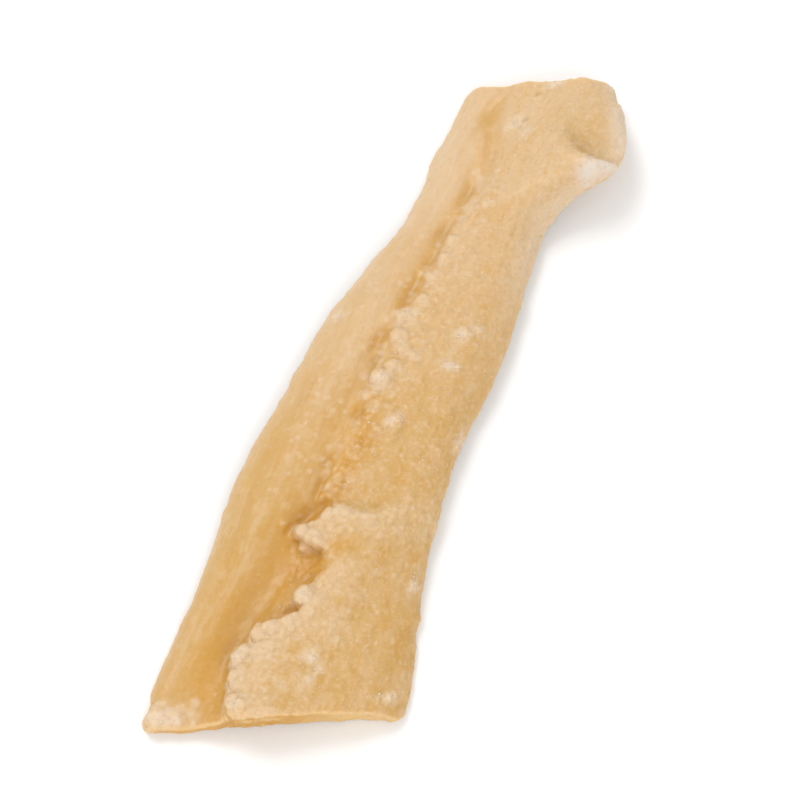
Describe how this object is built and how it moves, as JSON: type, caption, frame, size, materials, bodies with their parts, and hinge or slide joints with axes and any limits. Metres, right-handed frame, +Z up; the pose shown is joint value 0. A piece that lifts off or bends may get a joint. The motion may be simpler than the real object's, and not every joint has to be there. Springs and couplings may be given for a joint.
{
  "type": "salted dried blue whiting piece",
  "caption": "Cross-cut strip of salted dried white fish with a furrow along it, a crusted layer torn back on one side and a curled corner.",
  "frame": {"origin": "on the surface it rests on, under the middle of its bounding box", "axes": "+Y along the strip from the broad cut to the narrow curled cut, +X across it to the right, +Z up out of the shown side"},
  "size_m": [0.0188, 0.0616, 0.0065],
  "materials": {
    "dried_fish": "satin, waxy and slightly translucent, with pale salt crust"
  },
  "bodies": {
    "root": {"dried_fish_strip": "dried_fish"}
  },
  "joints": []
}
